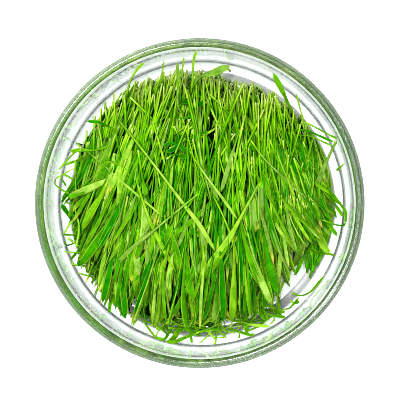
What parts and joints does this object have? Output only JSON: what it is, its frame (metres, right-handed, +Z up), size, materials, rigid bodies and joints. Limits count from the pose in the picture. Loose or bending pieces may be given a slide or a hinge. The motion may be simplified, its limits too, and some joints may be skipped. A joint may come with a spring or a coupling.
{
  "type": "bowl of cut wheatgrass",
  "caption": "Round straight-sided clear glass bowl heaped with cut wheatgrass blades lying side by side, pale cut stems at the back and broad leaf tips at the front.",
  "frame": {"origin": "middle of the bowl's foot, on the surface it stands on", "axes": "+Z up through the middle of the bowl, +Y towards the cut stem ends, -Y towards the leaf tips"},
  "size_m": [0.2, 0.2, 0.066],
  "materials": {
    "clear_glass": "clear pressed glass, polished",
    "fresh_leaf": "fresh grass leaf, satin, fine lengthwise ribs"
  },
  "bodies": {
    "root": {"glass_bowl": "clear_glass", "grass_heap": "fresh_leaf", "fallen_blades": "fresh_leaf"}
  },
  "joints": []
}
